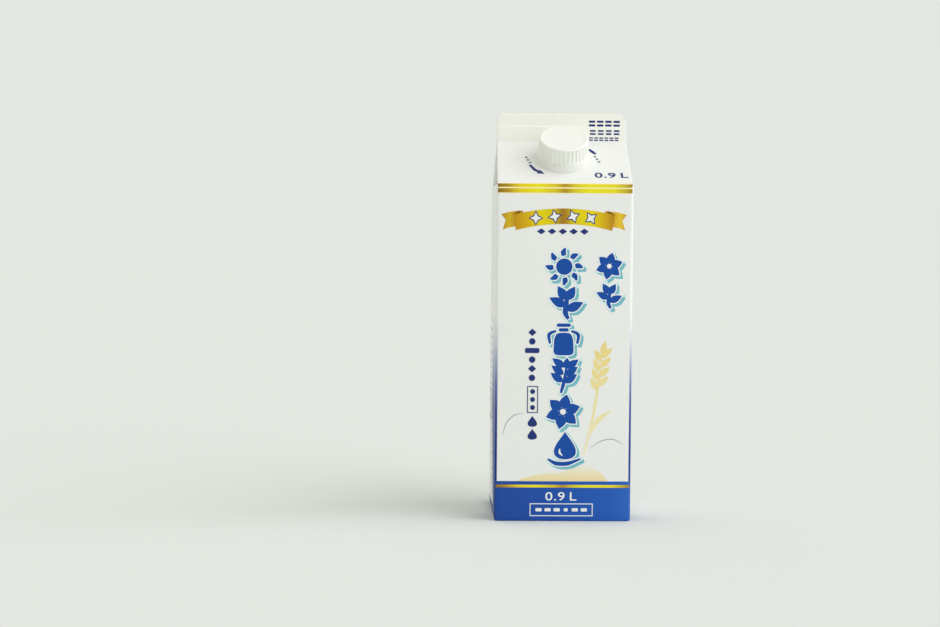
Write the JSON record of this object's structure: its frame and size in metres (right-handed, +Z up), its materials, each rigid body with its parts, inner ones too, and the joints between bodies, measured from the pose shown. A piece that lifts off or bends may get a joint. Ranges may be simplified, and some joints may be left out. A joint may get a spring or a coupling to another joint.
{
  "type": "milk carton",
  "caption": "Tall square gable-top carton, filled and shut, with a folded fin along its top and a ribbed screw cap on a smooth band on the front roof panel.",
  "frame": {"origin": "centre of the foot, on the surface the carton stands on", "axes": "+Z up along the carton, -Y out of the front panel that faces the viewer, +X to the viewer's right"},
  "size_m": [0.072, 0.072, 0.211],
  "materials": {
    "board": "satin",
    "cap": "satin",
    "ring": "satin"
  },
  "bodies": {
    "root": {"carton": "board", "spout_ring": "ring", "cap": "cap"}
  },
  "joints": []
}
